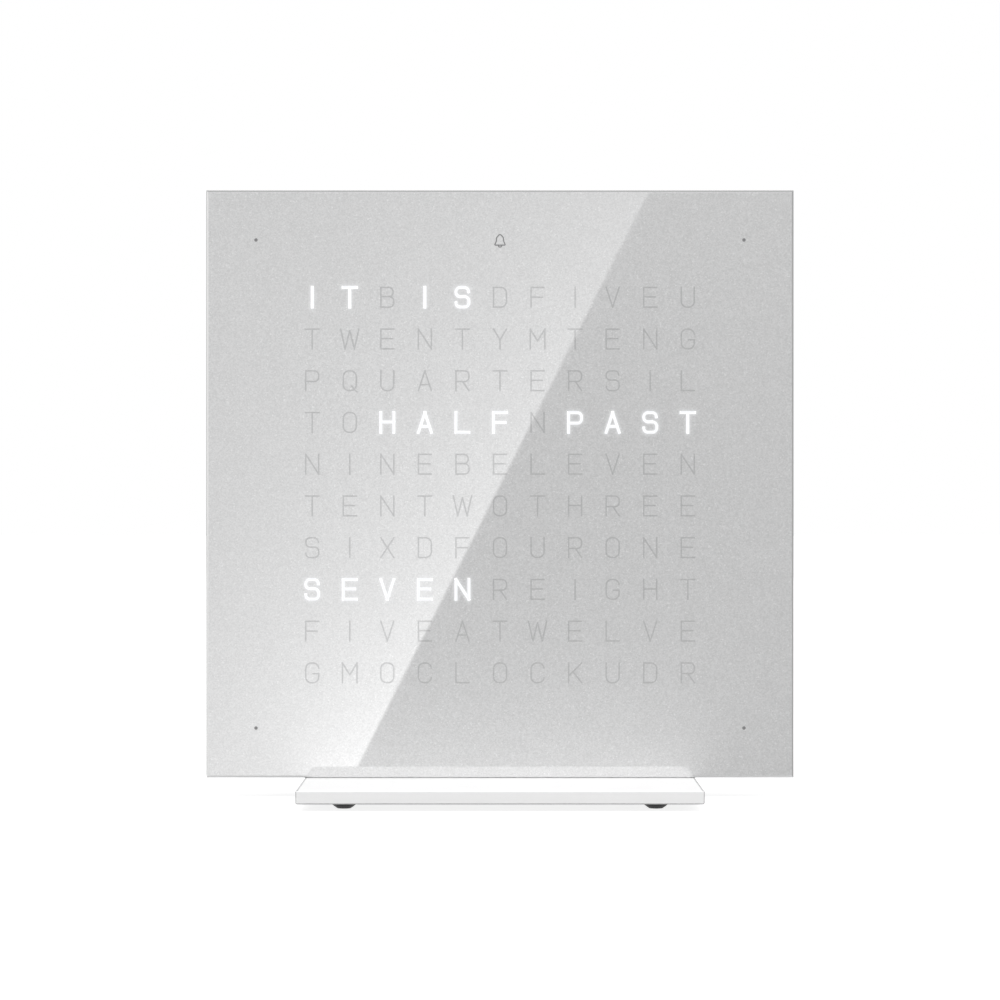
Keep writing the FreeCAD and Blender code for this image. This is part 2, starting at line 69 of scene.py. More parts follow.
FACE_CENTRE = Vector((0, COVER_LOW[1], (COVER_LOW[2] + COVER_HIGH[2]) / 2))
LED_SIZE = LED_HIGH[0] - LED_LOW[0]
COLUMNS = 11
ROWS = 10
COLUMN_PITCH = (LEDS_HIGH[0] - LEDS_LOW[0] - LED_SIZE) / (COLUMNS - 1)
ROW_PITCH = (LEDS_HIGH[2] - LEDS_LOW[2] - LED_SIZE) / (ROWS - 1)
FIELD_HEIGHT = (LEDS_HIGH[2] + LEDS_LOW[2]) / 2
DOT_OFFSET = (DOTS_HIGH[0] - DOTS_LOW[0] - LED_SIZE) / 2

# The letters of the face, with the lit ones in capitals: it is half past seven
LETTER_ROWS = (
    "ITbISdfiveu",
    "twentymteng",
    "pquartersil",
    "toHALFnPAST",
    "ninebeleven",
    "tentwothree",
    "sixdfourone",
    "SEVENreight",
    "fiveatwelve",
    "gmoclockudr",
)

# Strokes of each letter on a box one wide and one high. A third number rounds that corner:
# 1 for a full round and 2 for the tighter round of a bowl.
STROKES = {
    "A": (((0, 0), (0.5, 1)), ((0.5, 1), (1, 0)), ((0.16, 0.3), (0.84, 0.3))),
    "B": (((0, 0), (0, 1)), ((0, 1), (0.94, 1, 2), (0.94, 0.53, 2), (0, 0.53)),
          ((0.5, 0.53), (1, 0.53, 2), (1, 0, 2), (0, 0))),
    "C": (((1, 0.74), (1, 1, 1), (0, 1, 1), (0, 0, 1), (1, 0, 1), (1, 0.26)),),
    "D": (((0, 0), (0, 1)), ((0, 1), (1, 1, 1), (1, 0, 1), (0, 0))),
    "E": (((0, 0), (0, 1)), ((0, 1), (1, 1)), ((0, 0.52), (0.88, 0.52)), ((0, 0), (1, 0))),
    "F": (((0, 0), (0, 1)), ((0, 1), (1, 1)), ((0, 0.5), (0.88, 0.5))),
    "G": (((1, 0.76), (1, 1, 1), (0, 1, 1), (0, 0, 1), (1, 0, 1), (1, 0.46)), ((1, 0.46), (0.56, 0.46))),
    "H": (((0, 0), (0, 1)), ((1, 0), (1, 1)), ((0, 0.52), (1, 0.52))),
    "I": (((0.5, 0), (0.5, 1)),),
    "K": (((0, 0), (0, 1)), ((1, 1), (0, 0.34)), ((0.34, 0.56), (1, 0))),
    "L": (((0, 0), (0, 1)), ((0, 0), (1, 0))),
    "M": (((-0.06, 0), (-0.06, 1)), ((-0.06, 1), (0.5, 0.4)), ((0.5, 0.4), (1.06, 1)), ((1.06, 1), (1.06, 0))),
    "N": (((0, 0), (0, 1)), ((0, 1), (1, 0)), ((1, 0), (1, 1))),
    "O": (((0.5, 1), (0, 1, 1), (0, 0, 1), (1, 0, 1), (1, 1, 1), (0.5, 1)),),
    "P": (((0, 0), (0, 1)), ((0, 1), (1, 1, 2), (1, 0.46, 2), (0, 0.46))),
    "Q": (((0.5, 1), (0, 1, 1), (0, 0, 1), (1, 0, 1), (1, 1, 1), (0.5, 1)), ((0.62, 0.24), (1.04, -0.06))),
    "R": (((0, 0), (0, 1)), ((0, 1), (1, 1, 2), (1, 0.46, 2), (0, 0.46)), ((0.52, 0.46), (1, 0))),
    "S": (((0.97, 0.78), (0.97, 1, 2), (0, 1, 2), (0, 0.53, 2), (1, 0.53, 2), (1, 0, 2), (0, 0, 2), (0, 0.22)),),
    "T": (((-0.02, 1), (1.02, 1)), ((0.5, 1), (0.5, 0))),
    "U": (((0, 1), (0, 0, 1), (1, 0, 1), (1, 1)),),
    "V": (((0, 1), (0.5, 0)), ((0.5, 0), (1, 1))),
    "W": (((-0.2, 1), (0.14, 0)), ((0.14, 0), (0.5, 0.92)), ((0.5, 0.92), (0.86, 0)), ((0.86, 0), (1.2, 1))),
    "X": (((0, 0), (1, 1)), ((0, 1), (1, 0))),
    "Y": (((0, 1), (0.5, 0.46)), ((1, 1), (0.5, 0.46)), ((0.5, 0.46), (0.5, 0))),
}

# Strokes of the bell symbol in millimetres from its middle: points, with a corner radius where round
BELL_STROKES = (
    ((0, -0.98), (-1.25, -0.98, 0.12), (-0.84, -0.1, 0.4), (-0.76, 0.75, 0.4), (0, 1.64, 0.42), (0.76, 0.75, 0.4),
     (0.84, -0.1, 0.4), (1.25, -0.98, 0.12), (0, -0.98)),
    ((-0.38, -1.02), (-0.3, -1.42, 0.22), (0.3, -1.42, 0.22), (0.38, -1.02)),
)


def length(name, description, default):
    """A size that a user may change, in metres."""
    return bpy.props.FloatProperty(name=name, description=description, default=default, unit="LENGTH", precision=5)


def spot(name, description, default):
    """A place that a user may change, in metres."""
    return bpy.props.FloatVectorProperty(
        name=name, description=description, default=default, subtype="TRANSLATION", unit="LENGTH"
    )


def share(name, description, default):
    """A share or strength that a user may change."""
    return bpy.props.FloatProperty(name=name, description=description, default=default, min=0, precision=3)


def colour(name, description, default):
    """A colour that a user may change."""
    return bpy.props.FloatVectorProperty(
        name=name, description=description, default=default, subtype="COLOR", min=0, max=1
    )


class ClockLetterSizes(bpy.types.PropertyGroup):
    """Sizes of the letters, dots and bell on the face."""

    height: length("Letter height", "Height between the middles of a letter's top and bottom strokes", 4.53 * MM)
    width: length("Letter width", "Width between the middles of a letter's side strokes", 2.98 * MM)
    round_corner: length("Round corner", "Corner radius of round letters", 1.3 * MM)
    bowl_corner: length("Bowl corner", "Corner radius of a letter's bowls", 0.98 * MM)
    unlit_stroke: length("Unlit stroke", "Stroke width of an unlit letter", 0.33 * MM)
    lit_stroke: length("Lit stroke", "Stroke width of a lit letter", 0.58 * MM)
    symbol_stroke: length("Symbol stroke", "Stroke width of the bell symbol", 0.26 * MM)
    bell_drop: length("Bell drop", "How far the bell symbol is below the line of the upper dots", 0.19 * MM)
    relief: length("Relief", "How far a stroke stands proud of the face", 0.012 * MM)
    sink: length("Sink", "How deep a stroke reaches into the face", 0.05 * MM)
    layer: length("Layer", "Step between strokes that cross", 0.002 * MM)
    dot_radius: length("Dot radius", "Radius of a minute dot", 0.4 * MM)
    glow_reach: length("Glow reach", "How far the glow spreads from a lit stroke", 1.5 * MM)
    glow_core: length("Glow core", "Half width of the fully bright middle of a lit stroke", 0.26 * MM)
    glow_fall: length("Glow fall", "Distance over which the glow falls to about a third", 0.4 * MM)
    glow_cell: length("Glow cell", "Mesh size of the glow", 0.14 * MM)
    glow_edge: share("Glow edge", "Brightness of the glow just outside a lit stroke", 0.4)
    light_level: share("Light level", "Strength of a lit letter's light", 1.15)


class ClockFootSizes(bpy.types.PropertyGroup):
    """Sizes of the rubber feet."""

    radius: length("Foot radius", "Radius of a foot where it meets the base plate", 3.2 * MM)
    flat: length("Foot flat", "Radius of the flat on which a foot stands", 1.5 * MM)
    swell: length("Foot swell", "How far a foot's side swells out from a straight cone", 0.25 * MM)


class ClockColours(bpy.types.PropertyGroup):
    """Colours of the clock."""

    silver_dark: colour("Dark flake", "Darkest flakes of the face", (0.562, 0.563, 0.565))
    silver_light: colour("Light flake", "Lightest flakes of the face", (0.757, 0.758, 0.760))
    letter: colour("Unlit letter", "Unlit letters on the face", (0.47, 0.471, 0.474))
    print_grey: colour("Print grey", "Minute dots and bell symbol", (0.2, 0.2, 0.203))
    light: colour("Letter light", "Light of the lit letters", (0.975, 0.985, 1.0))
    base: colour("Base white", "White coat of the base plate", (0.88, 0.88, 0.88))
    body: colour("Body", "Plastic of the housing and rear cover", (0.72, 0.72, 0.725))
    button: colour("Button", "Plastic of the rear buttons", (0.13, 0.13, 0.135))
    rubber: colour("Rubber", "Rubber of the feet", (0.045, 0.045, 0.046))
    board: colour("Board", "Solder mask of the circuit board", (0.02, 0.13, 0.06))


class ClockStudio(bpy.types.PropertyGroup):
    """Camera, floor and lights."""

    lens: bpy.props.FloatProperty(name="Lens", description="Focal length in millimetres", default=128.78)
    camera_distance: length("Camera distance", "From the face to the camera", 822 * MM)
    camera_drop: length("Camera drop", "How far the camera is below the face's middle", 3.68 * MM)
    floor_colour: colour("Floor", "Colour of the floor", (0.5, 0.5, 0.5))
    floor_lift: share("Floor lift", "Light added to the floor where the camera sees it", 0.84)
    floor_size: length("Floor size", "Side of the square floor", 12.0)
    sky: share("Sky", "Strength of the soft light from all round", 0.6)
    key_power: share("Key power", "Power of the overhead lamp in watts", 28.0)
    fill_power: share("Fill power", "Power of the lamp behind the clock in watts", 7.0)
    key_place: spot("Key place", "Place of the overhead lamp", (-0.15, -0.88, 1.62))
    fill_place: spot("Fill place", "Place of the lamp behind the clock", (0.5, 1.9, 0.9))
    lamp_aim: spot("Lamp aim", "Where both lamps point", (0, 0, 0.06))
    lamp_size: length("Lamp size", "Side of both lamps", 1.6)
    card_distance: length("Card distance", "From the face to the card that the gloss mirrors", 1644 * MM)
    card_level: share("Card level", "Strength of the light half of the card at its middle", 1.05)
    flag_level: share("Flag level", "Strength of the dark half of the card", 0.22)


# Node helpers
def node(tree, kind, inputs=None, **settings):
    """Add a shader node, with its settings and its inputs as values or as sockets to link."""
    made = tree.nodes.new("ShaderNode" + kind)
    for name, value in settings.items():
        setattr(made, name, value)
    for name, value in (inputs or {}).items():
        target = made.inputs[name]
        if isinstance(value, bpy.types.NodeSocket):
            tree.links.new(value, target)
        else:
            target.default_value = value
    return made


def maths(tree, operation, *values):
    """A Math node's result."""
    made = node(tree, "Math", dict(enumerate(values)), operation=operation)
    return made.outputs[0]


def mixed(tree, factor, low, high):
    """A colour between two colours."""
    made = node(tree, "Mix", {0: factor, 6: low, 7: high}, data_type="RGBA")
    return made.outputs[2]


def spread(tree, value, low, high):
    """A value from 0 to 1 set to run from low to high."""
    made = node(tree, "MapRange", {"Value": value, "To Min": low, "To Max": high})
    return made.outputs["Result"]


def opaque(value):
    """A colour with full alpha."""
    return (*value[:3], 1.0)


def object_place(tree):
    """The Object coordinates."""
    return node(tree, "TexCoord").outputs["Object"]


def new_group(name, inputs, outputs):
    """A node group with named float inputs and outputs, and its input and output nodes."""
    group = bpy.data.node_groups.new(name, "ShaderNodeTree")
    for label, default in inputs.items():
        made = group.interface.new_socket(label, in_out="INPUT", socket_type="NodeSocketFloat")
        made.default_value = default
    for label in outputs:
        group.interface.new_socket(label, in_out="OUTPUT", socket_type="NodeSocketFloat")
    return group, group.nodes.new("NodeGroupInput"), group.nodes.new("NodeGroupOutput")


def moulded_grain():
    """Fine even grain of moulded plastic, rubber or paint: a tone and a height."""
    group, given, result = new_group("moulded grain", {"Scale": 2000.0}, ("Tone", "Height"))
    place = object_place(group)
    fine = node(group, "TexNoise", {"Vector": place, "Scale": given.outputs["Scale"], "Detail": 3.0})
    broad = node(group, "TexNoise", {"Vector": place, "Scale": 45.0, "Detail": 2.0})
    tone = maths(group, "MULTIPLY_ADD", broad.outputs["Fac"], 0.6, maths(group, "MULTIPLY", fine.outputs["Fac"], 0.4))
    group.links.new(tone, result.inputs["Tone"])
    group.links.new(fine.outputs["Fac"], result.inputs["Height"])
    return group


def metal_flake():
    """Fine metal flake under a clear front: a tone for each flake and rare bright sparks."""
    group, given, result = new_group("metal flake", {"Scale": 3800.0, "Sparks": 0.985}, ("Tone", "Spark", "Height"))
    place = object_place(group)
    flakes = node(group, "TexVoronoi", {"Vector": place, "Scale": given.outputs["Scale"]})
    grain = node(group, "TexNoise", {"Vector": place, "Scale": 1500.0, "Detail": 2.0})
    clouds = node(group, "TexNoise", {"Vector": place, "Scale": 260.0, "Detail": 2.0})
    pick = node(group, "SeparateColor", {"Color": flakes.outputs["Color"]})
    soft = maths(group, "MULTIPLY", clouds.outputs["Fac"], 0.15)
    soft = maths(group, "MULTIPLY_ADD", grain.outputs["Fac"], 0.25, soft)
    tone = maths(group, "MULTIPLY_ADD", pick.outputs[0], 0.6, soft)
    spark = maths(group, "GREATER_THAN", pick.outputs[1], given.outputs["Sparks"])
    group.links.new(tone, result.inputs["Tone"])
    group.links.new(spark, result.inputs["Spark"])
    group.links.new(pick.outputs[2], result.inputs["Height"])
    return group


def brushed_lines():
    """Fine lines of drawn or turned metal: a height and a tone."""
    group, given, result = new_group("brushed lines", {"Scale": 900.0}, ("Tone", "Height"))
    place = object_place(group)
    stretched = node(group, "Mapping", {"Vector": place, "Scale": (0.06, 1.0, 1.0)})
    lines = node(group, "TexNoise", {"Vector": stretched.outputs[0], "Scale": given.outputs["Scale"], "Detail": 4.0})
    group.links.new(lines.outputs["Fac"], result.inputs["Tone"])
    group.links.new(lines.outputs["Fac"], result.inputs["Height"])
    return group


def handling_marks():
    """Faint, broad marks left by cleaning and handling."""
    group, given, result = new_group("handling marks", {"Scale": 28.0}, ("Mask",))
    place = object_place(group)
    noise = {"Vector": place, "Scale": given.outputs["Scale"], "Detail": 5.0, "Roughness": 0.7}
    broad = node(group, "TexNoise", noise)
    mask = node(group, "MapRange", {"Value": broad.outputs["Fac"], "From Min": 0.45, "From Max": 0.7})
    group.links.new(mask.outputs["Result"], result.inputs["Mask"])
    return group


GROUP_MAKERS = {
    "moulded grain": moulded_grain,
    "metal flake": metal_flake,
    "brushed lines": brushed_lines,
    "handling marks": handling_marks,
}


def group_node(tree, name, inputs):
    """A shared effect placed in a material with its inputs set, built when it is first used."""
    group = bpy.data.node_groups.get(name) or GROUP_MAKERS[name]()
    made = tree.nodes.new("ShaderNodeGroup")
    made.node_tree = group
    for label, value in inputs.items():
        made.inputs[label].default_value = value
    return made


def new_material(name, **values):
    """A material with one Principled shader whose plain values are set."""
    material = bpy.data.materials.new(name)
    material.use_nodes = True
    tree = material.node_tree
    shader = tree.nodes["Principled BSDF"]
    for label, value in values.items():
        shader.inputs[label.replace("_", " ")].default_value = value
    return material, tree, shader


def bump(tree, shader, height, distance, strength=0.5):
    """Feed a height to a shader's normal."""
    made = node(tree, "Bump", {"Height": height, "Distance": distance, "Strength": strength})
    tree.links.new(made.outputs["Normal"], shader.inputs["Normal"])


def grained(name, base, roughness, scale=2000.0, depth=0.01 * MM, variation=0.06, **values):
    """Moulded plastic, rubber or paint: grain in colour, gloss and height, with faint handling marks."""
    material, tree, shader = new_material(name, **values)
    grain = group_node(tree, "moulded grain", {"Scale": scale})
    marks = group_node(tree, "handling marks", {"Scale": 30.0})
    low = opaque([part * (1 - variation) for part in base])
    high = opaque([min(1.0, part * (1 + variation)) for part in base])
    tree.links.new(mixed(tree, grain.outputs["Tone"], low, high), shader.inputs["Base Color"])
    gloss = spread(tree, marks.outputs["Mask"], roughness, roughness + 0.07)
    tree.links.new(gloss, shader.inputs["Roughness"])
    bump(tree, shader, grain.outputs["Height"], depth)
    return material


def powder_coat_with_painted_edge_shade(name, base):
    """White powder coat with a thin grey line of painted shade along the plate's ends and underside, wider on its
    top.
    """
    # Widths of the painted shade line at the plate's edges
    painted_shade_width = 0.2 * MM
    extra_painted_shade_on_top = 0.4 * MM
    top_skin = 0.1 * MM
    material = grained(name, base, 0.42, 1400.0, 0.012 * MM, 0.012)
    tree = material.node_tree
    target = tree.nodes["Principled BSDF"].inputs["Base Color"]
    place = node(tree, "SeparateXYZ", {"Vector": object_place(tree)})
    top = maths(tree, "GREATER_THAN", place.outputs["Z"], BASE_HIGH[2] - top_skin)
    across = maths(tree, "MULTIPLY_ADD", top, extra_painted_shade_on_top, maths(tree, "ABSOLUTE", place.outputs["X"]))
    ends = maths(tree, "GREATER_THAN", across, BASE_HIGH[0] - painted_shade_width)
    under = maths(tree, "LESS_THAN", place.outputs["Z"], BASE_LOW[2] + painted_shade_width)
    # Painted shade: a grey line along the plate's ends and underside, mixed most of the way to half the coat's white
    edge = maths(tree, "MULTIPLY", maths(tree, "MAXIMUM", ends, under), 0.8)
    coat = target.links[0].from_socket
    tree.links.new(mixed(tree, edge, coat, opaque([part * 0.5 for part in base])), target)
    return material


def drawn_metal(name, base, roughness, scale=900.0, depth=0.004 * MM, **values):
    """Drawn, turned or rolled metal: fine lines in colour, gloss and height."""
    material, tree, shader = new_material(name, Metallic=1.0, **values)
    lines = group_node(tree, "brushed lines", {"Scale": scale})
    low = opaque([part * 0.86 for part in base])
    tree.links.new(mixed(tree, lines.outputs["Tone"], low, opaque(base)), shader.inputs["Base Color"])
    gloss = spread(tree, lines.outputs["Tone"], roughness - 0.06, roughness + 0.08)
    tree.links.new(gloss, shader.inputs["Roughness"])
    bump(tree, shader, lines.outputs["Height"], depth)
    return material


FACE_GLOSS = {"Coat Weight": 1.0, "Coat Roughness": 0.012, "Coat IOR": 2.7, "Specular IOR Level": 0.25}


def flaked(name, dark, light, painted_bevel_reflections=False, coat=1.0):
    """Silver flake under a polished clear front. With the bevel option set, the bevel gets painted reflections:
    bright on its left and lower sides, dark on its top and right sides.
    """
    material, tree, shader = new_material(name)
    for label, value in {**FACE_GLOSS, "Coat Weight": coat}.items():
        shader.inputs[label].default_value = value
    flake = group_node(tree, "metal flake", {"Scale": 3800.0, "Sparks": 0.985})
    base = mixed(tree, flake.outputs["Tone"], opaque(dark), opaque(light))
    spark = opaque([part * 1.02 for part in light])
    base = mixed(tree, flake.outputs["Spark"], base, spark)
    if painted_bevel_reflections:
        # Painted reflections on the bevel: dark on its top and right sides, bright on its left and lower sides
        mask, bright = painted_bevel_reflection_masks(tree)
        edge = mixed(tree, bright, opaque([part * 0.42 for part in dark]), opaque([part * 1.16 for part in light]))
        base = mixed(tree, mask, base, edge)
    tree.links.new(base, shader.inputs["Base Color"])
    tree.links.new(spread(tree, flake.outputs["Height"], 0.36, 0.52), shader.inputs["Roughness"])
    bump(tree, shader, flake.outputs["Height"], 0.01 * MM, 0.35)
    return material


def painted_bevel_reflection_masks(tree):
    """Masks for the painted reflections on the face's polished bevel: 1 on the bevel, and 1 where it is painted
    bright on its left and lower sides.
    """
    bevel_width = 0.45 * MM
    painted_dark_rim = 0.18 * MM
    base_margin = 1.5 * MM
    place = node(tree, "SeparateXYZ", {"Vector": object_place(tree)})
    half = (COVER_HIGH[0] - COVER_LOW[0]) / 2
    up = maths(tree, "SUBTRACT", place.outputs["Z"], FACE_CENTRE.z)
    outer = maths(tree, "MAXIMUM", maths(tree, "ABSOLUTE", place.outputs["X"]), maths(tree, "ABSOLUTE", up))
    mask = maths(tree, "GREATER_THAN", outer, half - bevel_width)
    bright = maths(tree, "LESS_THAN", maths(tree, "ADD", place.outputs["X"], up), 0.0)
    # Painted dark rim: on the left, the bright painted reflection stops short of the outer edge. It reaches that edge
    # over the base, and at 0.7 along the rest of the bottom
    inner = maths(tree, "LESS_THAN", outer, half - painted_dark_rim)
    over_base = maths(tree, "LESS_THAN", maths(tree, "ABSOLUTE", place.outputs["X"]), BASE_HIGH[0] - base_margin)
    lower = maths(tree, "LESS_THAN", up, bevel_width - half)
    ring = maths(tree, "MAXIMUM", maths(tree, "MAXIMUM", inner, over_base), maths(tree, "MULTIPLY", lower, 0.7))
    bright = maths(tree, "MULTIPLY", bright, ring)
    return mask, bright


def glowing(name, light, strength):
    """The even light of a lit letter, with the faint cloudiness of its opal film."""
    material, tree, shader = new_material(name, Roughness=0.4)
    shader.inputs["Emission Strength"].default_value = strength
    grain = group_node(tree, "moulded grain", {"Scale": 1500.0})
    low = opaque([part * 0.96 for part in light])
    tint = mixed(tree, grain.outputs["Tone"], low, opaque(light))
    tree.links.new(tint, shader.inputs["Emission Color"])
    tree.links.new(tint, shader.inputs["Base Color"])
    return material


def halo(name, light):
    """Light scattered round a lit letter: as clear as the glow attribute is low."""
    material, tree, shader = new_material(name, Roughness=1.0)
    shader.inputs["Base Color"].default_value = (0, 0, 0, 1)
    shader.inputs["Specular IOR Level"].default_value = 0.0
    shader.inputs["Emission Color"].default_value = opaque(light)
    shader.inputs["Emission Strength"].default_value = 1.0
    glow = node(tree, "Attribute", attribute_name="glow")
    tree.links.new(glow.outputs["Fac"], shader.inputs["Alpha"])
    return material


def board_mask(name, base):
    """Solder mask over copper: broad fills, thin traces and a satin coat."""
    material, tree, shader = new_material(name, Roughness=0.38)
    shader.inputs["Coat Weight"].default_value = 0.35
    place = object_place(tree)
    fills = node(tree, "TexVoronoi", {"Vector": place, "Scale": 95.0}, distance="MANHATTAN", feature="F1")
    traces = node(tree, "TexBrick", {"Vector": place, "Scale": 160.0, "Mortar Size": 0.05, "Mortar Smooth": 0.2})
    pick = node(tree, "SeparateColor", {"Color": fills.outputs["Color"]})
    filled = maths(tree, "GREATER_THAN", pick.outputs[0], 0.5)
    ground = mixed(tree, filled, opaque(base), opaque([part * 1.5 for part in base]))
    line = opaque([part * 0.6 for part in base])
    tree.links.new(mixed(tree, traces.outputs["Fac"], ground, line), shader.inputs["Base Color"])
    bump(tree, shader, traces.outputs["Fac"], 0.02 * MM)
    return material


# Mesh helpers
def new_piece(name, mesh_maker, material, body):
    """A new object from a bmesh that mesh_maker fills, finished, placed on a body and given its slot."""
    shape = bmesh.new()
    mesh_maker(shape)
    bmesh.ops.recalc_face_normals(shape, faces=shape.faces)
    mesh = bpy.data.meshes.new(name)
    shape.to_mesh(mesh)
    shape.free()
    mesh.materials.append(material)
    piece = bpy.data.objects.new(name, mesh)
    bpy.context.scene.collection.objects.link(piece)
    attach(piece, body)
    return piece


def corner_arc(before, corner, after, radius):
    """A rounded corner's start, centre, turn and end, for a path that goes before, corner, after."""
    back = (before - corner).normalized()
    on = (after - corner).normalized()
    turn = math.pi - back.angle(on)
    reach = radius * math.tan(turn / 2)
    start = corner + back * reach
    side = 1 if (-back).cross(on) > 0 else -1
    centre = start + Vector((back.y, -back.x)) * side * radius
    return start, centre, turn * side, corner + on * reach


# The turn of one step round a rounded corner
CORNER_STEP = math.radians(18)


def draw_stroke(shape, points, half_width, low_y, high_y):
    """Sweep a flat bar along points in the X-Z plane, spinning it round each rounded corner."""
    flat = [Vector(point[:2]) for point in points]
    radii = [point[2] if len(point) > 2 else 0 for point in points]
    along = (flat[1] - flat[0]).normalized()
    place = flat[0] - along * (half_width if flat[0] != flat[-1] else 0)
    side = Vector((-along.y, along.x)) * half_width
    corners = [(place - side, low_y), (place + side, low_y), (place + side, high_y), (place - side, high_y)]
    face = shape.faces.new([shape.verts.new((point.x, y, point.y)) for point, y in corners])
    first = face
    for index in range(1, len(flat)):
        last = index == len(flat) - 1
        if radii[index] and not last:
            start, centre, turn, end = corner_arc(flat[index - 1], flat[index], flat[index + 1], radii[index])
            face = push_bar(shape, face, start - place)
            steps = max(2, round(abs(turn) / CORNER_STEP))
            spun = bmesh.ops.spin(
                shape, geom=[face], cent=(centre.x, 0, centre.y), axis=(0, -1, 0), angle=turn, steps=steps
            )
            face = next(item for item in spun["geom_last"] if isinstance(item, bmesh.types.BMFace))
            place = end
        else:
            reach = half_width if last and flat[0] != flat[-1] else 0
            heading = (flat[index] - flat[index - 1]).normalized()
            face = push_bar(shape, face, flat[index] + heading * reach - place)
            place = flat[index]
    if flat[0] == flat[-1]:
        ends = [end for end in (first, face) if end.is_valid]
        bmesh.ops.delete(shape, geom=ends, context="FACES_ONLY")


def push_bar(shape, face, move):
    """Extrude a bar's end face along a move in the X-Z plane."""
    if move.length < 1e-9:
        return face
    pushed = bmesh.ops.extrude_face_region(shape, geom=[face])
    fresh = [item for item in pushed["geom"] if isinstance(item, bmesh.types.BMFace)]
    verts = [item for item in pushed["geom"] if isinstance(item, bmesh.types.BMVert)]
    bmesh.ops.translate(shape, verts=verts, vec=(move.x, 0, move.y))
    return fresh[0]


def letters(lit):
    """Each letter that is lit or unlit, with its centre on the face in X and Z."""
    for row, text in enumerate(LETTER_ROWS):
        for column, letter in enumerate(text):
            if letter.isupper() == lit:
                x = (column - (COLUMNS - 1) / 2) * COLUMN_PITCH
                z = FIELD_HEIGHT + ((ROWS - 1) / 2 - row) * ROW_PITCH
                yield letter.upper(), Vector((x, z))


def letter_paths(letter, centre, sizes):
    """The strokes of one letter as points in metres, with corner radii."""
    radii = (0, sizes.round_corner, sizes.bowl_corner)
    for stroke in STROKES[letter]:
        path = []
        for across, up, *rounding in stroke:
            x = centre.x + (across - 0.5) * sizes.width
            z = centre.y + (up - 0.5) * sizes.height
            path.append((x, z, *[radii[kind] for kind in rounding]))
        yield path


def draw_letters(shape, lit, stroke_width, surface_y, sizes, outwards=-1):
    """Draw all lit or all unlit letters as flat bars that stand a little proud of a surface."""
    for letter, centre in letters(lit):
        for layer, path in enumerate(letter_paths(letter, centre, sizes)):
            proud = surface_y + outwards * (sizes.relief + layer * sizes.layer)
            depths = sorted((proud, surface_y - outwards * sizes.sink))
            draw_stroke(shape, path, stroke_width / 2, *depths)
    bmesh.ops.remove_doubles(shape, verts=shape.verts, dist=1e-7)


def draw_bell(shape, middle, low_y, high_y, sizes):
    """Draw the bell symbol round a height on the face."""
    for layer, stroke in enumerate(BELL_STROKES):
        path = [(x * MM, middle + z * MM, *[radius * MM for radius in rounding]) for x, z, *rounding in stroke]
        draw_stroke(shape, path, sizes.symbol_stroke / 2, low_y - layer * sizes.layer, high_y)
    bmesh.ops.remove_doubles(shape, verts=shape.verts, dist=1e-7)


def draw_glow(shape, sizes):
    """A fine sheet round each lit letter whose glow attribute falls with distance from the strokes."""
    layer = shape.verts.layers.float.new("glow")
    y = COVER_LOW[1] - sizes.relief - 6 * sizes.layer
    for letter, centre in letters(True):
        paths = [smooth_path(path) for path in letter_paths(letter, centre, sizes)]
        half_x = sizes.width * 0.62 + sizes.glow_reach
        half_z = sizes.height / 2 + sizes.glow_reach
        steps_x = round(2 * half_x / sizes.glow_cell)
        steps_z = round(2 * half_z / sizes.glow_cell)
        turn = Matrix.Translation((centre.x, y, centre.y)) @ Matrix.Rotation(math.pi / 2, 4, "X")
        turn = turn @ Matrix.Diagonal((half_x, half_z, 1, 1))
        sheet = bmesh.ops.create_grid(shape, x_segments=steps_x, y_segments=steps_z, size=1, matrix=turn)
        for vert in sheet["verts"]:
            away = min(distance_to(path, Vector((vert.co.x, vert.co.z))) for path in paths)
            vert[layer] = glow_at(away, sizes)
    dark = [face for face in shape.faces if all(vert[layer] <= 0 for vert in face.verts)]
    bmesh.ops.delete(shape, geom=dark, context="FACES")


def draw_cells(shape, y, sizes):
    """A soft square of light on the diffuser in front of each lit shaft, with its strength as glow."""
    layer = shape.verts.layers.float.new("glow")
    half = Vector((COLUMN_PITCH, ROW_PITCH)) * 0.44
    for _, centre in letters(True):
        turn = Matrix.Translation((centre.x, y, centre.y)) @ Matrix.Rotation(math.pi / 2, 4, "X")
        turn = turn @ Matrix.Diagonal((half.x, half.y, 1, 1))
        sheet = bmesh.ops.create_grid(shape, x_segments=16, y_segments=16, size=1, matrix=turn)
        for vert in sheet["verts"]:
            across = abs(vert.co.x - centre.x) / half.x
            up = abs(vert.co.z - centre.y) / half.y
            vert[layer] = max(0.0, 1 - across**6) * max(0.0, 1 - up**6) * (1 - 0.35 * math.hypot(across, up))


def glow_at(away, sizes):
    """How bright the glow is at a distance from a stroke's middle: full in the core, then fading to nothing."""
    if away < sizes.glow_core:
        return 1.0
    past = away - sizes.glow_core
    edge = (sizes.lit_stroke / 2 - sizes.glow_core) or 1e-6
    if past < edge:
        return 1.0 - (1.0 - sizes.glow_edge) * past / edge
    fade = math.exp(-(past - edge) / sizes.glow_fall)
    end = max(0.0, 1.0 - past / (sizes.glow_reach - sizes.glow_core))
    return sizes.glow_edge * fade * end


def smooth_path(points):
    """The straight and curved runs of a stroke as a chain of points."""
    flat = [Vector(point[:2]) for point in points]
    chain = [flat[0]]
    for index in range(1, len(flat) - 1):
        radius = points[index][2] if len(points[index]) > 2 else 0
        if not radius:
            chain.append(flat[index])
            continue
        start, centre, turn, end = corner_arc(flat[index - 1], flat[index], flat[index + 1], radius)
        for step in range(7):
            chain.append(centre + Matrix.Rotation(turn * step / 6, 2) @ (start - centre))
    chain.append(flat[-1])
    return chain


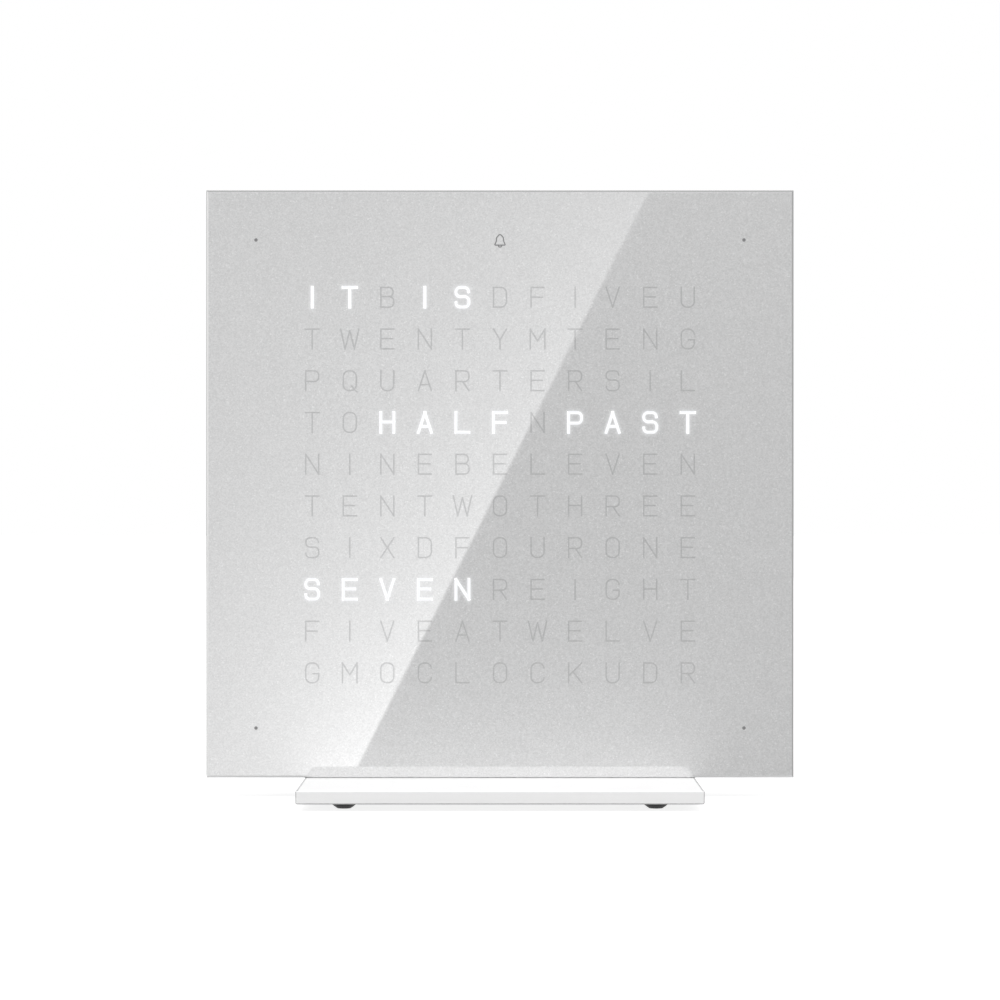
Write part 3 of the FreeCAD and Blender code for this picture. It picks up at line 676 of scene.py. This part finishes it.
def distance_to(chain, point):
    """The distance from a point to a chain of straight runs."""
    best = math.inf
    for start, end in zip(chain, chain[1:]):
        run = end - start
        along = max(0.0, min(1.0, (point - start).dot(run) / max(run.length_squared, 1e-12)))
        best = min(best, (point - start - run * along).length)
    return best


def draw_discs(shape, places, radius, low_y, high_y):
    """Small round discs square to the face."""
    for x, z in places:
        turn = Matrix.Translation((x, (low_y + high_y) / 2, z)) @ Matrix.Rotation(math.pi / 2, 4, "X")
        bmesh.ops.create_cone(
            shape, cap_ends=True, segments=32, radius1=radius, radius2=radius, depth=high_y - low_y, matrix=turn
        )


def draw_feet(shape, sizes):
    """Four rubber domes spun from a rounded profile, each with a small flat on the floor."""
    low, high = FEET_LOW, FEET_HIGH
    tall = high[2] - low[2]
    radius = sizes.radius
    steps_up = 8
    profile = [(0, 0), (sizes.flat, 0)]
    for step in range(1, steps_up + 1):
        share_up = step / steps_up
        swell = sizes.swell * math.sin(math.pi * share_up)
        profile.append((sizes.flat + (radius - sizes.flat) * share_up + swell, tall * share_up))
    profile.append((0, tall))
    for x in (low[0] + radius, high[0] - radius):
        for y in (low[1] + radius, high[1] - radius):
            verts = [shape.verts.new((x + r, y, low[2] + z)) for r, z in profile]
            edges = [shape.edges.new(pair) for pair in zip(verts, verts[1:])]
            bmesh.ops.spin(
                shape, geom=verts + edges, cent=(x, y, 0), axis=(0, 0, 1), angle=2 * math.pi, steps=48, use_merge=True
            )
    bmesh.ops.remove_doubles(shape, verts=shape.verts, dist=1e-7)


# Operators
def dress(names, material):
    """Give CAD nodes a material."""
    for name in names:
        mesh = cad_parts[name].data
        mesh.materials.clear()
        mesh.materials.append(material)


class ClockOperator(bpy.types.Operator):
    """Shared settings of the clock's operators."""

    bl_options = {"REGISTER", "UNDO"}


class MakeFace(ClockOperator):
    """Finish the front cover and draw its unlit letters, minute dots and bell symbol."""

    bl_idname = "word_clock.make_face"
    bl_label = "Face and letters"

    def execute(self, context):
        sizes = context.scene.clock_letter_sizes
        colours = context.scene.clock_colours
        face = flaked("silver flake face with painted bevel reflections", colours.silver_dark, colours.silver_light, painted_bevel_reflections=True)
        dress(("front_cover",), face)
        shade = colours.letter
        unlit = flaked("unlit letter", [p * 0.9 for p in shade], [p * 1.1 for p in shade], coat=0.62)
        front = COVER_LOW[1]
        new_piece(
            "letters_unlit",
            lambda shape: draw_letters(shape, False, sizes.unlit_stroke, front, sizes),
            unlit,
            "lift_off_cover",
        )
        ink = grained("face print", colours.print_grey, 0.4, 2600.0, Coat_Weight=0.6, Coat_Roughness=0.02)
        top = FACE_CENTRE.z + DOT_OFFSET
        dots = [(x, FACE_CENTRE.z + z) for x in (-DOT_OFFSET, DOT_OFFSET) for z in (-DOT_OFFSET, DOT_OFFSET)]
        low, high = front - sizes.relief, front + sizes.sink
        new_piece(
            "minute_dots",
            lambda shape: draw_discs(shape, dots, sizes.dot_radius, low, high),
            ink,
            "lift_off_cover",
        )
        new_piece(
            "bell_symbol",
            lambda shape: draw_bell(shape, top - sizes.bell_drop, low, high, sizes),
            ink,
            "lift_off_cover",
        )
        return {"FINISHED"}


class MakeLitLetters(ClockOperator):
    """Draw the lit letters and the soft glow round them."""

    bl_idname = "word_clock.make_lit_letters"
    bl_label = "Lit letters"

    def execute(self, context):
        sizes = context.scene.clock_letter_sizes
        light = context.scene.clock_colours.light
        front = COVER_LOW[1]
        new_piece(
            "letters_lit",
            lambda shape: draw_letters(shape, True, sizes.lit_stroke, front, sizes),
            glowing("letter light", light, sizes.light_level),
            "lift_off_cover",
        )
        new_piece(
            "letter_glow",
            lambda shape: draw_glow(shape, sizes),
            halo("letter glow", light),
            "lift_off_cover",
        )
        return {"FINISHED"}


class MakeLightPath(ClockOperator):
    """Draw what shows when the cover is off: the film's letter windows and the lit cells of the diffuser."""

    bl_idname = "word_clock.make_light_path"
    bl_label = "Film windows and lit cells"

    def execute(self, context):
        sizes = context.scene.clock_letter_sizes
        colours = context.scene.clock_colours
        window = grained("film window", (0.78, 0.78, 0.77), 0.35, 2600.0, 0.005 * MM, 0.03, Coat_Weight=0.5)
        for lit in (False, True):
            new_piece(
                "film_windows_lit" if lit else "film_windows_unlit",
                lambda shape, lit=lit: draw_letters(shape, lit, sizes.unlit_stroke, FILM_HIGH[1], sizes, outwards=1),
                window,
                "lift_off_cover",
            )
        new_piece(
            "lit_cells",
            lambda shape: draw_cells(shape, DIFFUSER_LOW[1] - sizes.relief, sizes),
            halo("cell light", colours.light),
            "clock_body",
        )
        return {"FINISHED"}


class MakeBase(ClockOperator):
    """Finish the base plate and its screws, and model the rubber feet."""

    bl_idname = "word_clock.make_base"
    bl_label = "Base and feet"

    def execute(self, context):
        colours = context.scene.clock_colours
        dress(("base_plate",), powder_coat_with_painted_edge_shade("white powder coat with painted edge shade", colours.base))
        dress(("base_screws", "rear_cover_screws"), drawn_metal("black oxide steel", (0.08, 0.08, 0.085), 0.42))
        rubber = grained("foot rubber", colours.rubber, 0.62, 2400.0, 0.02 * MM, 0.12)
        sizes = context.scene.clock_foot_sizes
        feet = new_piece("feet", lambda shape: draw_feet(shape, sizes), rubber, "clock_body")
        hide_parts("rubber_feet")
        for face in feet.data.polygons:
            face.use_smooth = True
        return {"FINISHED"}


class MakeBody(ClockOperator):
    """Finish the housing, rear cover, buttons and socket."""

    bl_idname = "word_clock.make_body"
    bl_label = "Body and buttons"

    def execute(self, context):
        colours = context.scene.clock_colours
        dress(("housing",), grained("housing plastic", colours.body, 0.44, 2300.0, 0.016 * MM, 0.03))
        dress(("rear_cover",), grained("rear cover plastic", colours.body, 0.5, 1700.0, 0.03 * MM, 0.035))
        buttons = grained("button plastic", colours.button, 0.4, 2600.0, 0.01 * MM, 0.08)
        dress([f"{name}_button" for name in ("hour", "minute", "alarm")], buttons)
        dress(("power_socket", "coin_cell_clip"), drawn_metal("spring steel", (0.62, 0.62, 0.61), 0.3))
        return {"FINISHED"}


class MakeInside(ClockOperator):
    """Finish the light box, boards, chips, magnets and switches."""

    bl_idname = "word_clock.make_inside"
    bl_label = "Inner parts"

    def execute(self, context):
        colours = context.scene.clock_colours
        film = flaked("film back", [p * 0.8 for p in colours.silver_dark], colours.silver_dark, coat=0.2)
        dress(("face_film",), film)
        steel = drawn_metal("zinc plated steel", (0.58, 0.59, 0.6), 0.34)
        dress(("strike_discs", "locating_pins", "board_screws", "coin_cell"), steel)
        dress(("housing_magnets",), drawn_metal("nickel plate", (0.72, 0.7, 0.66), 0.2, 1500.0))
        dress(("diffuser_sheet",), grained("opal sheet", (0.86, 0.86, 0.85), 0.5, 1900.0, 0.01 * MM, 0.02))
        dress(("light_shaft_grid",), grained("grid plastic", (0.8, 0.8, 0.8), 0.55, 1900.0, 0.02 * MM, 0.03))
        dress(("led_board",), board_mask("solder mask", colours.board))
        leds = grained("led phosphor", (0.85, 0.8, 0.45), 0.3, 5000.0, 0.01 * MM, 0.08, Coat_Weight=0.6)
        dress(("letter_leds", "minute_leds", "alarm_led"), leds)
        dress(("touch_electrode", "touch_contact"), drawn_metal("copper", (0.72, 0.36, 0.22), 0.28))
        chips = ("light_sensor", "microcontroller", "led_drivers", "clock_chip", "voltage_regulator")
        dress((*chips, "small_resistors"), grained("chip epoxy", (0.03, 0.03, 0.032), 0.48, 4200.0, 0.01 * MM, 0.15))
        dress(("crystal", "capacitors"), drawn_metal("can aluminium", (0.74, 0.74, 0.74), 0.32, 1200.0))
        black = grained("black plastic", (0.035, 0.035, 0.04), 0.46, 2600.0, 0.012 * MM, 0.12)
        plungers = [f"{name}_plunger" for name in ("hour", "minute", "alarm")]
        dress(("coin_cell_holder", "buzzer", "tact_switches", "socket_tongue", *plungers), black)
        return {"FINISHED"}


class MakeStudio(ClockOperator):
    """Set up the floor, the white surround, the lights, the mirrored card and the camera."""

    bl_idname = "word_clock.make_studio"
    bl_label = "Studio"

    def execute(self, context):
        studio = context.scene.clock_studio
        make_world(context, studio)
        make_floor(context, studio)
        make_card(context, studio)
        make_lamps(context, studio)
        make_camera(context, studio)
        context.scene.view_settings.view_transform = "Standard"
        return {"FINISHED"}


def make_world(context, studio):
    """White to the eye and to gloss, and a soft even sky to everything else."""
    world = bpy.data.worlds.new("studio surround")
    context.scene.world = world
    world.use_nodes = True
    tree = world.node_tree
    tree.nodes.clear()
    path = node(tree, "LightPath")
    direct = maths(tree, "MAXIMUM", path.outputs["Is Camera Ray"], path.outputs["Is Glossy Ray"])
    direct = maths(tree, "MAXIMUM", direct, path.outputs["Is Transmission Ray"])
    strength = spread(tree, direct, studio.sky, 1.0)
    sky = node(tree, "Background", {"Color": (1, 1, 1, 1), "Strength": strength})
    node(tree, "OutputWorld", {"Surface": sky.outputs[0]})


def make_floor(context, studio):
    """A pale floor that shows white round the object and keeps its shadow."""
    shape = bmesh.new()
    bmesh.ops.create_grid(shape, x_segments=1, y_segments=1, size=studio.floor_size / 2)
    mesh = bpy.data.meshes.new("floor")
    shape.to_mesh(mesh)
    shape.free()
    floor = bpy.data.objects.new("floor", mesh)
    context.scene.collection.objects.link(floor)
    material = bpy.data.materials.new("pale floor")
    material.use_nodes = True
    tree = material.node_tree
    tree.nodes.clear()
    path = node(tree, "LightPath")
    matte = node(tree, "BsdfDiffuse", {"Color": opaque(studio.floor_colour)})
    glow = maths(tree, "MULTIPLY", path.outputs["Is Camera Ray"], studio.floor_lift)
    lift = node(tree, "Emission", {"Color": (1, 1, 1, 1), "Strength": glow})
    both = node(tree, "AddShader", {0: matte.outputs[0], 1: lift.outputs[0]})
    node(tree, "OutputMaterial", {"Surface": both.outputs[0]})
    mesh.materials.append(material)
    floor.visible_glossy = False


def make_card(context, studio):
    """A large card behind the camera that only gloss sees: a bright slanted half and a dark half."""
    reach = 1 + studio.card_distance / studio.camera_distance
    shape = bmesh.new()
    centre = Vector((0, COVER_LOW[1] - studio.card_distance, FACE_CENTRE.z - studio.camera_drop))
    turn = Matrix.Translation(centre) @ Matrix.Rotation(math.pi / 2, 4, "X")
    bmesh.ops.create_grid(shape, x_segments=1, y_segments=1, size=reach * 90 * MM, matrix=turn)
    mesh = bpy.data.meshes.new("gloss_card")
    shape.to_mesh(mesh)
    shape.free()
    card = bpy.data.objects.new("gloss_card", mesh)
    context.scene.collection.objects.link(card)
    card.visible_camera = False
    card.visible_diffuse = False
    card.visible_shadow = False
    card.visible_transmission = False
    mesh.materials.append(card_material(studio, centre, reach))


# The card's light over the face that mirrors it. Places are in millimetres from the face's middle.
EDGE_SLOPE = 0.5068
EDGE_ACROSS = -1.70
EDGE_SOFTNESS = 0.35
FALL_FROM_EDGE = -0.013
FALL_UPWARDS = -0.0077
LEVEL_AT_MIDDLE = 1.03
LEAST_LEVEL = 0.1
FLAG_RISE = 0.00105
# A faint glow near the base, painted to look like light that the white plate throws up
BOUNCE_LEVEL = 0.31
BOUNCE_DEPTH = 61.5
BOUNCE_HEIGHT = 12
BOUNCE_HALF_WIDTH = 50
BOUNCE_END_POWER = 8.0
BOUNCE_LOSS_IN_LIGHT = -0.6


def card_material(studio, centre, reach):
    """Light left of a slanted edge and growing towards it and downwards, dark right of it."""
    material = bpy.data.materials.new("softbox card")
    material.use_nodes = True
    tree = material.node_tree
    tree.nodes.clear()
    place = node(tree, "SeparateXYZ", {"Vector": object_place(tree)})
    across = maths(tree, "DIVIDE", place.outputs["X"], reach * MM)
    up = maths(tree, "DIVIDE", maths(tree, "SUBTRACT", place.outputs["Z"], centre.z), reach * MM)
    edge = maths(tree, "MULTIPLY_ADD", up, EDGE_SLOPE, EDGE_ACROSS)
    inside = maths(tree, "SUBTRACT", edge, across)
    span = {"From Min": -EDGE_SOFTNESS, "From Max": EDGE_SOFTNESS}
    lit = node(tree, "MapRange", {"Value": inside, **span}).outputs["Result"]
    fall = maths(tree, "EXPONENT", maths(tree, "MULTIPLY", maths(tree, "MAXIMUM", inside, 0.0), FALL_FROM_EDGE))
    low = maths(tree, "MAXIMUM", maths(tree, "MULTIPLY_ADD", up, FALL_UPWARDS, LEVEL_AT_MIDDLE), LEAST_LEVEL)
    bright = maths(tree, "MULTIPLY", maths(tree, "MULTIPLY", fall, low), studio.card_level)
    above = maths(tree, "MULTIPLY_ADD", maths(tree, "MAXIMUM", up, 0.0), FLAG_RISE, studio.flag_level)
    rise = maths(tree, "EXPONENT", maths(tree, "MULTIPLY", maths(tree, "ADD", up, BOUNCE_DEPTH), -1 / BOUNCE_HEIGHT))
    aside = maths(tree, "MULTIPLY", maths(tree, "ABSOLUTE", across), 1 / BOUNCE_HALF_WIDTH)
    ends = maths(tree, "ADD", maths(tree, "POWER", aside, BOUNCE_END_POWER), 1.0)
    bounce = maths(tree, "DIVIDE", maths(tree, "MULTIPLY", rise, BOUNCE_LEVEL), ends)
    bounce = maths(tree, "MULTIPLY", bounce, maths(tree, "MULTIPLY_ADD", lit, BOUNCE_LOSS_IN_LIGHT, 1.0))
    level = maths(tree, "MULTIPLY_ADD", lit, bright, maths(tree, "ADD", above, bounce))
    lamp = node(tree, "Emission", {"Color": (1, 1, 1, 1), "Strength": level})
    node(tree, "OutputMaterial", {"Surface": lamp.outputs[0]})
    return material


def make_lamps(context, studio):
    """A large soft lamp above and in front of the clock, and a weaker one behind it."""
    lamps = (
        ("overhead softbox", studio.key_place, studio.key_power),
        ("rear softbox", studio.fill_place, studio.fill_power),
    )
    for name, place, power in lamps:
        light = bpy.data.lights.new(name, "AREA")
        light.size = studio.lamp_size
        light.energy = power
        lamp = bpy.data.objects.new(name.replace(" ", "_"), light)
        context.scene.collection.objects.link(lamp)
        lamp.location = place
        aim = Vector(studio.lamp_aim) - lamp.location
        lamp.rotation_euler = aim.to_track_quat("-Z", "Y").to_euler()
        lamp.visible_glossy = False


def make_camera(context, studio):
    """A level camera in front of the face, a little below its middle."""
    data = bpy.data.cameras.new("camera")
    data.sensor_width = 36
    data.lens = studio.lens
    data.clip_start = 0.01
    camera = bpy.data.objects.new("camera", data)
    context.scene.collection.objects.link(camera)
    camera.location = (0, COVER_LOW[1] - studio.camera_distance, FACE_CENTRE.z - studio.camera_drop)
    camera.rotation_euler = (math.pi / 2, 0, 0)
    context.scene.camera = camera


class ClockPanel(bpy.types.Panel):
    """Lists the clock's operators."""

    bl_idname = "VIEW3D_PT_word_clock"
    bl_label = "Word clock"
    bl_space_type = "VIEW_3D"
    bl_region_type = "UI"
    bl_category = "Word clock"

    def draw(self, context):
        for step in STEPS:
            self.layout.operator(step.bl_idname)


STEPS = (MakeFace, MakeLitLetters, MakeLightPath, MakeBase, MakeBody, MakeInside, MakeStudio)
SETTINGS = {
    "clock_letter_sizes": ClockLetterSizes,
    "clock_foot_sizes": ClockFootSizes,
    "clock_colours": ClockColours,
    "clock_studio": ClockStudio,
}


def register():
    """Register the settings, operators and panel."""
    for name, kind in SETTINGS.items():
        bpy.utils.register_class(kind)
        setattr(bpy.types.Scene, name, bpy.props.PointerProperty(type=kind))
    for kind in (*STEPS, ClockPanel):
        bpy.utils.register_class(kind)


def unregister():
    """Remove what register added."""
    for kind in reversed((*STEPS, ClockPanel)):
        bpy.utils.unregister_class(kind)
    for name, kind in SETTINGS.items():
        delattr(bpy.types.Scene, name)
        bpy.utils.unregister_class(kind)


def main():
    """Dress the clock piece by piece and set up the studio."""
    register()
    bpy.ops.word_clock.make_face()
    bpy.ops.word_clock.make_lit_letters()
    bpy.ops.word_clock.make_light_path()
    bpy.ops.word_clock.make_base()
    bpy.ops.word_clock.make_body()
    bpy.ops.word_clock.make_inside()
    bpy.ops.word_clock.make_studio()


if __name__ == "__main__":
    main()
